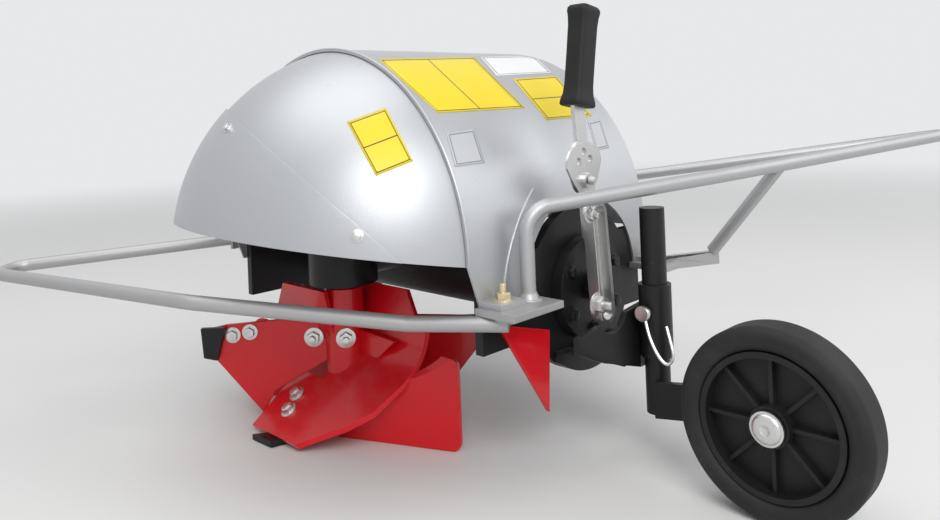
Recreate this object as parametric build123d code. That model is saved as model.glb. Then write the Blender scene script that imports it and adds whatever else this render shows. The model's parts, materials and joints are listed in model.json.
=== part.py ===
from build123d import *
import os
from math import atan2, cos, degrees, radians, sin, sqrt

os.makedirs("parts", exist_ok=True)

# Frame: X is the swing axis of the plough head, positive to the rear; Y to the far side; Z up.
# Overall
AXIS_HEIGHT = 191.0
SHEET = 3.0
RUN_GAP = 0.3
SHAFT_FIT = 0.05

# Hood: a sheet tunnel that lies across the machine, with a spherical dome on its left end
HOOD_R = 248.0
HOOD_X = -293.0
HOOD_Z = 57.0
HOOD_FOOT_Z = 11.0
HOOD_LEFT_Y = -200.0
HOOD_RIGHT_Y = 140.0
ARCH_R = 112.0
INPUT_ARCH_R = 62.0
FOOT_DEPTH = 30.0
FOOT_SHEET = 6.0
NEAR_FOOT_Y = -184.0
NEAR_FOOT_WIDTH = 40.0
FAR_FOOT_WIDTH = 26.0
END_PLATE_INSET = 12.0
RING_WIDTH = 18.0
RING_DEPTH = 8.0
DOME_REACH = 378.0
DOME_LIFT_Y = 0.17
DOME_LIFT_X = 0.045
DOME_EDGE_Z = 55.0
FLAP_SHEET = 2.5
FLAP_FACE = (-0.35, -0.593, -0.725)

# Frame plates
PLATE = 12.0
BRACKET_PLATE = 8.0
BULKHEAD_R = 100.0
BULKHEAD_LOW = 44.0
BEARING_R = 46.0
BRACKET_REACH = 56.0
NEAR_BRACKET_Y = (-190.0, -108.0)
FAR_BRACKET_Y = (104.0, 140.0)

# Guards
TUBE_R = 8.5
GUARD_BEND = 60.0
CORNER_BEND = 28.0
RISER_BEND = 30.0
LEVEL_RUN = 0.3
BRACE_R = 8.0
BRACE_ARM = (8.0, 18.0)
BRACE_ARM_START = (21.0, 108.0)
BRACE_ARM_END = (71.0, 206.0)
BRACE_PLACE = 0.19
TAB = (6.0, 40.0, 26.0)
CUP_R = 13.0
CUP_HEIGHT = 10.0
LEFT_GUARD = [(27.0, -170.0), (-310.0, -380.0, 18.0), (-745.0, -484.0, 20.0), (-180.0, 40.0)]
RIGHT_GUARD = [(20.0, -128.0, 110.0), (89.0, 112.0, 130.0), (236.0, 612.0, 158.0), (145.0, 50.0)]

# Head: drive housing along X, side case along Y, upright rotor bearing
CAP_R = 62.0
CAP_LENGTH = 16.0
STUB_R = 16.0
STUB_LENGTH = 20.0
CASE_R = 40.0
CASE_Z = 40.0
ROTOR_X = -335.0
ROTOR_Y = -150.0
ROTOR_BEARING_R = 46.0
ROTOR_BEARING_TOP = 92.0
ROTOR_BEARING_LOW = -4.0
INPUT_LENGTH = 62.0
INPUT_FLANGE_R = 70.0
INPUT_FLANGE = 14.0
INPUT_TUBE_R = 50.0
PTO_R = 12.5
PTO_LENGTH = 30.0
PTO_NECK_R = 11.5
PTO_NECK = 2.0
PTO_SEAT = 30.0
FLANGE_BOLTS = 6
FLANGE_PCD = 112.0
FLANGE_HOLE_R = 5.5

# Lever
LEVER_LEAN = 4.5
LEVER_Y = -22.0
GRIP_LEAN = -10.0
CHANNEL = (16.0, 28.0)
CHANNEL_WALL = 4.0
CHANNEL_LOW = -34.0
CHANNEL_TOP = 108.0
BAR = (6.0, 20.0)
INDEX_R = 22.0
INDEX_HEIGHT = 66.0
INDEX_Z = 150.0
INDEX_HOLES = [(-11.0, 8.0), (0.0, 18.0), (11.0, 8.0)]
INDEX_HOLE_R = 4.5
GRIP_LOW = 222.0
GRIP_TOP = 343.0
GRIP = (26.0, 31.0)
GRIP_LIP = 4.0
DETENT_R = 5.0
DETENT_Z = 134.0
DETENT_KNOB_R = 9.0
DETENT_REACH = 14.0

# Rotor: two mouldboards, each with a trailing wing and a paddle, all with black points
SHAFT_R = 22.0
HUB_R = 26.0
HUB_TOP = -10.0
HUB_LOW = -132.0
ROTOR_R = 193.0
SETS = 2
BLADE_SHEET = 6.0
MOULD = [(36.0, -10.0), (16.0, -95.0), (-106.0, -183.5)]
MOULD_BEND = 80.0
MOULD_X = (-66.0, 152.0)
MOULD_HEEL = (-8.0, -34.0)
MOULD_SHOULDER = [(90.0, -10.0), (126.0, -56.0)]
MOULD_EDGE = [(26.0, -112.0), (92.0, -71.0), (118.0, -48.0), (130.0, -14.0), (137.0, 22.0)]
WING_RUN = [(5.0, -54.0), (191.0, 26.0)]
WING_TOP = -78.0
WING_CORNER = 12.0
PADDLE_ANGLE = 224.6
PADDLE = [
    (24.0, -108.0), (97.0, -147.0), (114.0, -177.0), (186.0, -90.0),
    (190.0, -62.0), (161.0, -56.0), (87.0, -52.0), (24.0, -60.0),
]
PADDLE_POINT = [(172.0, -102.0), (190.0, -98.0), (193.0, -58.0), (160.0, -58.0)]
SHARE_POINT = [(-44.0, -121.0), (-2.0, -119.0), (6.0, -84.0), (-18.0, -84.0)]
POINT_SHEET = 8.0
GUSSET = [(24.0, -66.0), (24.0, -128.0), (96.0, -70.0)]
GUSSET_Y = 4.0

# Wheel group
POST_REACH = 87.0
POST_Y = 20.0
POST_R = 14.5
POST_TOP = 99.0
POST_LOW = -140.0
SLEEVE_R = 19.0
SLEEVE_TOP = 10.0
SLEEVE_LOW = -74.0
WHEEL_RUN = 164.0
WHEEL_Y = -31.0
WHEEL_R = 96.0
TYRE_WIDTH = 46.0
TYRE_RIM_R = 72.0
TYRE_ROUND = 10.0
RIM_WIDTH = 40.0
RIBS = 8
RIB = (4.0, 12.0)
AXLE_R = 10.0
WHEEL_HUB_R = 20.0
ARM_PLATE = 10.0
ARM_Y = 0.0
ARM_LOW_Z = -122.0
STAY_SHEET = 8.0
STAY_REACH = 66.0
STAY = [(-108.0, -28.0), (-108.0, -46.0), (-63.0, -66.0), (16.0, -91.0), (32.0, -91.0), (32.0, -14.0)]
STAY_NOTCH = (-42.0, -10.0, 27.0)
SHELF_Y = (-25.0, 20.0)
SHELF_Z = -76.0
FOOT_PLATE_W = 120.0
PIN_Z = -20.0
PIN_R = 5.0
PIN_HEAD_R = 9.0
PIN_HEAD = 6.0
FIN = [(-159.0, -13.0), (-79.0, -132.0), (-73.0, -38.0)]
FIN_SHEET = 6.0

FLOOR_Z = -AXIS_HEIGHT
HOOD_REAR = HOOD_X + HOOD_R
HOOD_FRONT = HOOD_X - HOOD_R
BULKHEAD_REAR_X = HOOD_REAR - SHEET
BULKHEAD_FRONT_X = HOOD_FRONT + SHEET
FLANGE_X = BULKHEAD_FRONT_X - INPUT_LENGTH
BRACKET_Z = HOOD_FOOT_Z - BRACKET_PLATE
JOURNAL_R = BEARING_R - SHAFT_FIT
POST_X = HOOD_REAR + POST_REACH
WHEEL_X = POST_X + WHEEL_RUN


def across(sketch, y0, y1):
    return extrude(Plane.XZ.offset(-y1) * sketch, amount=y1 - y0)


def along(sketch, x0, x1):
    return extrude(Plane.YZ.offset(x0) * sketch, amount=x1 - x0)


def upright(sketch, z0, z1):
    return extrude(Plane.XY.offset(z0) * sketch, amount=z1 - z0)


def tube(points, radii, r):
    path = FilletPolyline(*points, radius=radii) if isinstance(radii, float) else corner_path(points, radii)
    start = Plane(origin=path @ 0, z_dir=path % 0)
    return sweep(start * Circle(r), path=path)


def corner_path(points, radii):
    runs = [Vector(*p) for p in points]
    ends = [runs[0]]
    edges = []
    for before, here, after, r in zip(runs, runs[1:], runs[2:], radii):
        arm_in = (before - here).normalized()
        arm_out = (after - here).normalized()
        half = radians(arm_in.get_angle(arm_out)) / 2
        reach = r / (sin(half) / cos(half))
        a = here + arm_in * reach
        b = here + arm_out * reach
        middle = here + (arm_in + arm_out).normalized() * (r / sin(half) - r)
        edges.append(Edge.make_line(ends[-1], a))
        edges.append(Edge.make_three_point_arc(a, middle, b))
        ends.append(b)
    edges.append(Edge.make_line(ends[-1], runs[-1]))
    return Wire(edges)


def tunnel(r):
    arch = Pos(HOOD_X, HOOD_Z) * Circle(r)
    skirt = Pos(HOOD_X, HOOD_Z - HOOD_R) * Rectangle(2 * r, 2 * HOOD_R)
    below = Pos(HOOD_X, HOOD_FOOT_Z - 2 * HOOD_R) * Rectangle(4 * HOOD_R, 4 * HOOD_R)
    return arch + skirt - below


# Hood
hood_shell = across(tunnel(HOOD_R) - tunnel(HOOD_R - SHEET), HOOD_LEFT_Y, HOOD_RIGHT_Y)
hood_shell -= along(Circle(ARCH_R), HOOD_REAR - HOOD_R / 4, HOOD_REAR + SHEET)
hood_shell -= along(Circle(INPUT_ARCH_R), HOOD_FRONT - SHEET, HOOD_FRONT + HOOD_R / 4)
foot_x = HOOD_REAR + FOOT_DEPTH / 2
cut_y = HOOD_LEFT_Y - SHEET
cut_z = HOOD_FOOT_Z - SHEET
corner_cut = [(cut_y, cut_z), (NEAR_FOOT_Y, cut_z), (NEAR_FOOT_Y, HOOD_FOOT_Z)]
corner_cut += [(HOOD_LEFT_Y, HOOD_Z), (cut_y, HOOD_Z)]
hood_shell -= along(Polygon(*corner_cut, align=None), HOOD_FRONT - SHEET, HOOD_REAR + SHEET)
far_foot_y = HOOD_RIGHT_Y - FAR_FOOT_WIDTH
for y0, width in ((NEAR_FOOT_Y, NEAR_FOOT_WIDTH), (far_foot_y, FAR_FOOT_WIDTH)):
    foot = Pos(foot_x, y0 + width / 2, HOOD_FOOT_Z + FOOT_SHEET / 2) * Box(FOOT_DEPTH, width, FOOT_SHEET)
    hood_shell += foot

INNER_R = HOOD_R - SHEET
end_disc = Pos(HOOD_X, HOOD_Z) * Circle(INNER_R)
end_low = Pos(HOOD_X, HOOD_Z - INNER_R) * Rectangle(4 * INNER_R, 2 * INNER_R)
end_y = HOOD_RIGHT_Y - END_PLATE_INSET
hood_end = across(end_disc - end_low, end_y - SHEET, end_y)

dome_y = HOOD_LEFT_Y + SHEET
dome_rim = INNER_R - RUN_GAP
dome_rise = DOME_REACH + dome_y
DOME_R = (dome_rim ** 2 + dome_rise ** 2) / (2 * dome_rise)
dome_centre = Pos(HOOD_X, dome_y - dome_rise + DOME_R, HOOD_Z)
half_space = Pos(HOOD_X, dome_y - 2 * DOME_R, HOOD_Z) * Box(4 * DOME_R, 4 * DOME_R, 4 * DOME_R)
edge_tilt = Plane(origin=(HOOD_REAR, dome_y, DOME_EDGE_Z), z_dir=(DOME_LIFT_X, DOME_LIFT_Y, 1))
above_edge = edge_tilt * Pos(0, 0, 2 * DOME_R) * Box(6 * DOME_R, 6 * DOME_R, 4 * DOME_R)
hood_dome = dome_centre * Sphere(DOME_R) - dome_centre * Sphere(DOME_R - SHEET)
hood_dome = hood_dome & half_space & above_edge

flap_front = Plane(origin=dome_centre.position, z_dir=FLAP_FACE)
flap_space = flap_front * Pos(0, 0, 2 * DOME_R) * Box(6 * DOME_R, 6 * DOME_R, 4 * DOME_R)
flap_side = Pos(HOOD_X, dome_y - RING_WIDTH - 2 * DOME_R, HOOD_Z) * Box(4 * DOME_R, 4 * DOME_R, 4 * DOME_R)
hood_flap = dome_centre * Sphere(DOME_R + FLAP_SHEET) - dome_centre * Sphere(DOME_R)
hood_flap = hood_flap & flap_side & above_edge & flap_space

ring_face = Pos(HOOD_X, HOOD_Z) * (Circle(INNER_R) - Circle(INNER_R - RING_DEPTH))
ring_face -= Pos(HOOD_X, HOOD_Z - INNER_R) * Rectangle(4 * INNER_R, 2 * INNER_R)
seam_ring = across(ring_face, dome_y, dome_y + RING_WIDTH)

# Frame plates
def bulkhead(x, low, top, wing_y):
    disc = Circle(BULKHEAD_R) - Pos(0, top + BULKHEAD_R) * Rectangle(4 * BULKHEAD_R, 2 * BULKHEAD_R)
    wing_place = Pos((wing_y[0] + wing_y[1]) / 2, (HOOD_Z - low) / 2)
    wings = wing_place * Rectangle(wing_y[1] - wing_y[0], HOOD_Z + low)
    return along(disc + wings - Circle(BEARING_R), x, x + PLATE)


wing_span = (dome_y + RING_WIDTH, end_y - SHEET)
rear_bulkhead = bulkhead(BULKHEAD_REAR_X - PLATE, BULKHEAD_LOW, BULKHEAD_R, wing_span)
front_bulkhead = bulkhead(BULKHEAD_FRONT_X, BULKHEAD_LOW, HOOD_Z, wing_span)
bracket_x = BULKHEAD_REAR_X + BRACKET_REACH / 2
brackets = {}
for name, (y0, y1) in (("near_bracket", NEAR_BRACKET_Y), ("far_bracket", FAR_BRACKET_Y)):
    bracket_mid = Pos(bracket_x, (y0 + y1) / 2, BRACKET_Z + BRACKET_PLATE / 2)
    brackets[name] = bracket_mid * Box(BRACKET_REACH, y1 - y0, BRACKET_PLATE)

# Guards
(near_run, near_y), bend_l, corner_l, (tab_l_y, tab_l_z) = LEFT_GUARD
near_x = HOOD_REAR + near_run
start_l = (near_x, near_y, BRACKET_Z - TUBE_R)
end_l = (HOOD_FRONT - TUBE_R, tab_l_y, tab_l_z)
level_l = tuple(a + LEVEL_RUN * (b - a) for a, b in zip(start_l[:2], bend_l[:2])) + (start_l[2],)
left_guard = tube([start_l, level_l, bend_l, corner_l, end_l], [GUARD_BEND, GUARD_BEND, CORNER_BEND], TUBE_R)
left_guard += Pos(HOOD_FRONT - TAB[0] / 2, tab_l_y, tab_l_z) * Box(*TAB)
left_end = Pos(near_x - TAB[1] / 4, near_y, BRACKET_Z - TAB[0] / 2) * Box(TAB[1], TAB[2], TAB[0])
left_guard += left_end

(riser_run, riser_y, riser_z), bend_r, corner_r, (tab_r_y, tab_r_z) = RIGHT_GUARD
riser = (HOOD_REAR + riser_run, riser_y, riser_z)
start_r = (riser[0], riser[1], HOOD_FOOT_Z)
end_r = (HOOD_FRONT - TUBE_R, tab_r_y, tab_r_z)
right_guard = tube([start_r, riser, bend_r, corner_r, end_r], [RISER_BEND, GUARD_BEND, CORNER_BEND], TUBE_R)
right_guard += Pos(riser[0], riser[1], HOOD_FOOT_Z + CUP_HEIGHT / 2) * Cone(CUP_R, TUBE_R, CUP_HEIGHT)
right_guard += Pos(HOOD_FRONT - TAB[0] / 2, tab_r_y - TAB[1] / 4, tab_r_z) * Box(*TAB)

# Drive input on the frame
input_housing = along(Circle(INPUT_TUBE_R), FLANGE_X, BULKHEAD_FRONT_X)
input_housing += along(Circle(INPUT_FLANGE_R), FLANGE_X, FLANGE_X + INPUT_FLANGE)
bolt_places = PolarLocations(FLANGE_PCD / 2, FLANGE_BOLTS)
bolt_circle = Sketch() + [place * Circle(FLANGE_HOLE_R) for place in bolt_places]
input_housing -= along(bolt_circle, FLANGE_X - SHEET, FLANGE_X + INPUT_FLANGE + SHEET)
input_housing -= along(Circle(PTO_NECK_R + SHAFT_FIT), FLANGE_X - SHEET, FLANGE_X + PTO_SEAT)
pto_shaft = along(Circle(PTO_R), FLANGE_X - PTO_NECK - PTO_LENGTH, FLANGE_X - PTO_NECK)
pto_shaft += along(Circle(PTO_NECK_R), FLANGE_X - PTO_NECK, FLANGE_X + PTO_SEAT)

# Swinging head
drive_housing = along(Circle(JOURNAL_R), BULKHEAD_FRONT_X + RUN_GAP, BULKHEAD_REAR_X)
rear_cap = along(Circle(CAP_R), BULKHEAD_REAR_X + RUN_GAP, BULKHEAD_REAR_X + CAP_LENGTH)
rear_cap += along(Circle(STUB_R), BULKHEAD_REAR_X + CAP_LENGTH, BULKHEAD_REAR_X + CAP_LENGTH + STUB_LENGTH)
drive_housing += along(Circle(JOURNAL_R), BULKHEAD_REAR_X, BULKHEAD_REAR_X + RUN_GAP)
side_case = Pos(ROTOR_X, ROTOR_Y / 2, CASE_Z) * Rot(90, 0, 0) * Cylinder(CASE_R, -ROTOR_Y)
side_case -= along(Circle(JOURNAL_R), BULKHEAD_FRONT_X, BULKHEAD_REAR_X)
rotor_bearing = upright(Pos(ROTOR_X, ROTOR_Y) * Circle(ROTOR_BEARING_R), ROTOR_BEARING_LOW, ROTOR_BEARING_TOP)
side_case -= rotor_bearing
shaft_bore = Pos(ROTOR_X, ROTOR_Y) * Circle(SHAFT_R + SHAFT_FIT)
rotor_bearing -= upright(shaft_bore, ROTOR_BEARING_LOW - SHEET, CASE_Z)

# Lever, drawn upright and then leaned about the swing axis
lever_x = BULKHEAD_REAR_X + CAP_LENGTH + STUB_LENGTH
lean = Pos(0, LEVER_Y, 0) * Rot(LEVER_LEAN, 0, 0)
channel_mid = Pos(0, (CHANNEL_TOP + CHANNEL_LOW) / 2) * Rot(0, 0, 90)
channel_length = CHANNEL_TOP - CHANNEL_LOW
lever_channel = along(channel_mid * SlotOverall(channel_length, CHANNEL[1]), lever_x, lever_x + CHANNEL[0])
groove = SlotOverall(channel_length - 2 * CHANNEL_WALL, CHANNEL[1] - 2 * CHANNEL_WALL)
lever_channel -= along(channel_mid * groove, lever_x + CHANNEL_WALL, lever_x + CHANNEL[0] + SHEET)
bar_low = CHANNEL_TOP - CHANNEL[1] * 1.5
bar_face = Pos(0, (bar_low + GRIP_LOW + BAR[1] / 2) / 2) * Rectangle(BAR[1], GRIP_LOW + BAR[1] / 2 - bar_low)
bar_face += Pos(0, INDEX_Z) * Rot(0, 0, 90) * SlotOverall(INDEX_HEIGHT, 2 * INDEX_R)
bar_face -= Pos(0, DETENT_Z) * Circle(DETENT_R)
for hole_y, hole_z in INDEX_HOLES:
    bar_face -= Pos(hole_y, INDEX_Z + hole_z) * Circle(INDEX_HOLE_R)
lever_bar = along(bar_face, lever_x - BAR[0], lever_x)
grip_hinge = Pos(lever_x - BAR[0] / 2, 0, GRIP_LOW)
grip_length = GRIP_TOP - GRIP_LOW
grip_body = Pos(0, 0, grip_length / 2) * Box(GRIP[0], GRIP[1], grip_length)
grip_body = fillet(grip_body.edges().filter_by(Axis.Z), GRIP_LIP)
grip_body = fillet(grip_body.edges().group_by(Axis.Z)[-1], GRIP_LIP)
grip_lip = Pos(0, 0, GRIP_LIP) * Box(GRIP[0] + 2 * GRIP_LIP, GRIP[1] + 2 * GRIP_LIP, 2 * GRIP_LIP)
grip_tang = Pos(0, 0, grip_length / 2 - GRIP_LIP) * Box(BAR[0], BAR[1], grip_length - 2 * GRIP_LIP)
grip_turn = grip_hinge * Rot(GRIP_LEAN - LEVER_LEAN, 0, 0)
lever_bar += grip_turn * grip_tang
lever_grip = grip_turn * (grip_body + fillet(grip_lip.edges().filter_by(Axis.Z), GRIP_LIP))
lever_grip -= lever_bar
detent_pin = along(Pos(0, DETENT_Z) * Circle(DETENT_R), lever_x - BAR[0] - DETENT_REACH, lever_x + DETENT_R)
detent_pin += along(Pos(0, DETENT_Z) * Circle(DETENT_KNOB_R), lever_x, lever_x + DETENT_R)
lever = {
    "lever_channel": lever_channel,
    "lever_bar": lever_bar,
    "lever_grip": lever_grip,
    "detent_pin": detent_pin,
}
lever = {name: lean * piece for name, piece in lever.items()}

# Rotor
rotor_centre = Pos(ROTOR_X, ROTOR_Y, 0)
hub_space = upright(Circle(HUB_R), 2 * FLOOR_Z, AXIS_HEIGHT)
rotor_hub = upright(Circle(SHAFT_R), HUB_TOP, CASE_Z - SHEET) + upright(Circle(HUB_R), HUB_LOW, HUB_TOP)
rotor_hub = rotor_centre * rotor_hub
reach = upright(Circle(ROTOR_R), 2 * FLOOR_Z, AXIS_HEIGHT)
mould_path = FilletPolyline(*MOULD, radius=MOULD_BEND)
mould = along(Sketch() + trace(mould_path, BLADE_SHEET), *MOULD_X)
(shoulder_x, _), (_, shoulder_z) = MOULD_SHOULDER
shoulder = MOULD_SHOULDER + [(2 * ROTOR_R, shoulder_z), (2 * ROTOR_R, AXIS_HEIGHT), (shoulder_x, AXIS_HEIGHT)]
mould -= across(Polygon(*shoulder, align=None), -ROTOR_R, ROTOR_R)
heel = Pos(MOULD_HEEL[0] - ROTOR_R, MOULD_HEEL[1] + ROTOR_R) * Rectangle(2 * ROTOR_R, 2 * ROTOR_R)
mould -= upright(heel, 2 * FLOOR_Z, AXIS_HEIGHT)
for (x0, y0), (x1, y1) in zip(MOULD_EDGE, MOULD_EDGE[1:]):
    edge_place = Plane(origin=(x0, y0, 0), z_dir=(y1 - y0, x0 - x1, 0))
    mould -= edge_place * Pos(0, 0, ROTOR_R) * Box(4 * ROTOR_R, 4 * ROTOR_R, 2 * ROTOR_R)
gusset = across(Polygon(*GUSSET, align=None), GUSSET_Y, GUSSET_Y + BLADE_SHEET)
over_path = Polyline(MOULD[2], (MOULD[2][0], AXIS_HEIGHT), (MOULD[0][0], AXIS_HEIGHT), MOULD[0])
over_mould = along(make_face(mould_path.edges() + over_path.edges()), -2 * ROTOR_R, 2 * ROTOR_R)
blade = (mould + (gusset & over_mould)) & reach
blade -= hub_space
(wing_x, wing_y), (tip_x, tip_y) = WING_RUN
wing_length = sqrt((tip_x - wing_x) ** 2 + (tip_y - wing_y) ** 2)
wing_place = Pos(wing_x, wing_y, 0) * Rot(0, 0, degrees(atan2(tip_y - wing_y, tip_x - wing_x)))
wing_height = WING_TOP - FLOOR_Z
wing_face = RectangleRounded(wing_length, wing_height, WING_CORNER)
wing_face = Pos(wing_length / 2, WING_TOP - wing_height / 2) * wing_face
wing = wing_place * across(wing_face, -BLADE_SHEET / 2, BLADE_SHEET / 2)
wing = wing - over_mould - mould - hub_space
paddle_turn = Rot(0, 0, PADDLE_ANGLE)
paddle = paddle_turn * across(Polygon(*PADDLE, align=None), -BLADE_SHEET / 2, BLADE_SHEET / 2)
set_turn = 360 / SETS
for space in (hub_space, mould, Rot(0, 0, set_turn) * mould, Rot(0, 0, set_turn) * over_mould):
    paddle -= space
point_y = BLADE_SHEET / 2
paddle_point = paddle_turn * across(Polygon(*PADDLE_POINT, align=None), point_y, point_y + POINT_SHEET)
share_point = upright(Polygon(*SHARE_POINT, align=None), FLOOR_Z, FLOOR_Z + POINT_SHEET) - mould
rotor = {}
for i in range(SETS):
    turn = rotor_centre * Rot(0, 0, set_turn * i)
    rotor[f"blade_mould_{i + 1}"] = turn * blade
    rotor[f"blade_wing_{i + 1}"] = turn * wing
    rotor[f"blade_paddle_{i + 1}"] = turn * paddle
    rotor[f"blade_point_{2 * i + 1}"] = turn * share_point
    rotor[f"blade_point_{2 * i + 2}"] = turn * paddle_point

# Wheel group
wheel_sleeve = upright(Pos(POST_X, POST_Y) * (Circle(SLEEVE_R) - Circle(POST_R)), SLEEVE_LOW, SLEEVE_TOP)
wheel_post = upright(Pos(POST_X, POST_Y) * Circle(POST_R), POST_LOW, POST_TOP)
sleeve_space = upright(Pos(POST_X, POST_Y) * Circle(SLEEVE_R), 2 * FLOOR_Z, AXIS_HEIGHT)
cap_clear = CAP_R + 2 * SHEET
foot_plate = Pos(0, -BULKHEAD_R) * Rectangle(FOOT_PLATE_W, 2 * (BULKHEAD_R - cap_clear))
foot_plate = (foot_plate & Circle(BULKHEAD_R)) - Circle(cap_clear)
wheel_bracket = along(foot_plate, BULKHEAD_REAR_X, BULKHEAD_REAR_X + PLATE)
stay_x = BULKHEAD_REAR_X + STAY_REACH
stay_face = Polygon(*STAY, align=None) - Pos(*STAY_NOTCH[:2]) * Circle(STAY_NOTCH[2])
wheel_bracket += along(stay_face, stay_x, stay_x + STAY_SHEET)
shelf_mid = (SHELF_Y[0] + SHELF_Y[1]) / 2
shelf = Pos(shelf_mid, SHELF_Z) * Rectangle(SHELF_Y[1] - SHELF_Y[0], STAY_SHEET)
wheel_bracket += along(shelf, BULKHEAD_REAR_X, stay_x + STAY_SHEET)
wheel_bracket -= sleeve_space
pin_head_y = POST_Y - SLEEVE_R - PIN_HEAD
pin_shank = across(Pos(POST_X, PIN_Z) * Circle(PIN_R), pin_head_y, POST_Y + SLEEVE_R + PIN_HEAD)
linch_pin = pin_shank + across(Pos(POST_X, PIN_Z) * Circle(PIN_HEAD_R), pin_head_y - PIN_HEAD, pin_head_y)
wheel_sleeve -= pin_shank
wheel_post -= pin_shank
keel_fin = along(Polygon(*FIN, align=None), BULKHEAD_REAR_X, BULKHEAD_REAR_X + FIN_SHEET)

wheel_z = FLOOR_Z + WHEEL_R
arm_run = WHEEL_X - POST_X
arm_rise = wheel_z - ARM_LOW_Z
arm_place = Pos(POST_X + arm_run / 2, ARM_LOW_Z + arm_rise / 2) * Rot(0, 0, degrees(atan2(arm_rise, arm_run)))
arm_face = arm_place * SlotCenterToCenter(sqrt(arm_run ** 2 + arm_rise ** 2), 2 * WHEEL_HUB_R)
wheel_arm = across(arm_face, ARM_Y, ARM_Y + ARM_PLATE)
wheel_arm -= wheel_post
arm_inner = WHEEL_Y + RIM_WIDTH / 2 + RUN_GAP
wheel_axle = across(Pos(WHEEL_X, wheel_z) * Circle(AXLE_R), WHEEL_Y - TYRE_WIDTH / 2, ARM_Y)
wheel_axle += across(Pos(WHEEL_X, wheel_z) * Circle(WHEEL_HUB_R), arm_inner, ARM_Y)
rim = Circle(TYRE_RIM_R) - Circle(WHEEL_HUB_R)
wheel_disc = across(Pos(WHEEL_X, wheel_z) * rim, WHEEL_Y - SHEET, WHEEL_Y + SHEET)
wheel_disc += across(Pos(WHEEL_X, wheel_z) * (Circle(TYRE_RIM_R) - Circle(TYRE_RIM_R - 2 * SHEET)),
                     WHEEL_Y - RIM_WIDTH / 2, WHEEL_Y + RIM_WIDTH / 2)
wheel_disc += across(Pos(WHEEL_X, wheel_z) * (Circle(WHEEL_HUB_R) - Circle(AXLE_R + SHAFT_FIT)),
                     WHEEL_Y - RIM_WIDTH / 2, WHEEL_Y + RIM_WIDTH / 2)
rib_run = TYRE_RIM_R - WHEEL_HUB_R
rib = Pos(WHEEL_HUB_R - SHEET + rib_run / 2, 0, 0) * Box(rib_run, 2 * RIB[1], RIB[0])
for i in range(RIBS):
    wheel_disc += Pos(WHEEL_X, WHEEL_Y, wheel_z) * Rot(0, 360 / RIBS * i, 0) * rib
tyre_face = RectangleRounded(WHEEL_R - TYRE_RIM_R, TYRE_WIDTH, TYRE_ROUND)
tyre_profile = Pos((WHEEL_R + TYRE_RIM_R) / 2, 0) * tyre_face
tyre = revolve(Plane.XY * tyre_profile, Axis.Y)
tyre = Pos(WHEEL_X, WHEEL_Y, wheel_z) * tyre
hub_cap = across(Pos(WHEEL_X, wheel_z) * Circle(WHEEL_HUB_R - SHEET),
                 WHEEL_Y - TYRE_WIDTH / 2 - 2 * SHEET, WHEEL_Y - TYRE_WIDTH / 2)

# Brace from the far bracket up to the right guard
(arm_run_x, arm_y), (arm_end_run, arm_end_y) = BRACE_ARM_START, BRACE_ARM_END
arm_length = sqrt((arm_end_run - arm_run_x) ** 2 + (arm_end_y - arm_y) ** 2)
arm_turn = degrees(atan2(arm_end_y - arm_y, arm_end_run - arm_run_x))
arm_start = Pos(HOOD_REAR + arm_run_x, arm_y, BRACKET_Z) * Rot(0, 0, arm_turn)
arm_mid = arm_start * Pos(arm_length / 2, 0, BRACE_ARM[1] / 2 - SHEET)
brace_arm = arm_mid * Box(arm_length, BRACE_ARM[0], BRACE_ARM[1])
brace_arm = brace_arm - brackets["far_bracket"] - hood_shell
brace_foot = (arm_start * Pos(arm_length - BRACE_R, 0, BRACE_ARM[1] - SHEET)).position
brace_foot = (brace_foot.X, brace_foot.Y, brace_foot.Z)
brace_head = tuple(a + BRACE_PLACE * (b - a) for a, b in zip(bend_r, corner_r))
brace_line = Edge.make_line(brace_foot, brace_head)
guard_brace = sweep(Plane(origin=brace_foot, z_dir=brace_line % 0) * Circle(BRACE_R), path=brace_line)
guard_brace -= brace_arm
guard_brace -= right_guard

parts = {
    "hood_shell": hood_shell,
    "hood_end": hood_end,
    "seam_ring": seam_ring,
    "hood_dome": hood_dome,
    "hood_flap": hood_flap,
    "rear_bulkhead": rear_bulkhead,
    "front_bulkhead": front_bulkhead,
    "near_bracket": brackets["near_bracket"],
    "far_bracket": brackets["far_bracket"],
    "left_guard": left_guard,
    "right_guard": right_guard,
    "brace_arm": brace_arm,
    "guard_brace": guard_brace,
    "input_housing": input_housing,
    "pto_shaft": pto_shaft,
    "drive_housing": drive_housing,
    "rear_cap": rear_cap,
    "side_case": side_case,
    "rotor_bearing": rotor_bearing,
    "rotor_hub": rotor_hub,
    "wheel_bracket": wheel_bracket,
    "wheel_sleeve": wheel_sleeve,
    "linch_pin": linch_pin,
    "keel_fin": keel_fin,
    "wheel_post": wheel_post,
    "wheel_arm": wheel_arm,
    "wheel_axle": wheel_axle,
    "wheel_disc": wheel_disc,
    "tyre": tyre,
    "hub_cap": hub_cap,
}
parts.update(lever)
parts.update(rotor)

home = Pos(-FLANGE_X, 0, 0)
for name, piece in parts.items():
    export_step(home * piece, f"parts/{name}.step")
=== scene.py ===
# %% [markdown]
# # A reversible rotary plough
# The real machine is a tillage head for a walking tractor. A silver sheet hood covers a red rotor of
# mouldboard blades, a lever tips the whole head, and a small wheel carries the rear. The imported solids
# give every main shape, so this lesson starts from them and adds finishes, edges and small hardware.

# %% Load the solids
import json
from math import cos, pi, radians, sin

import bmesh
import bpy
from mathutils import Matrix, Vector
from mathutils.bvhtree import BVHTree


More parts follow.
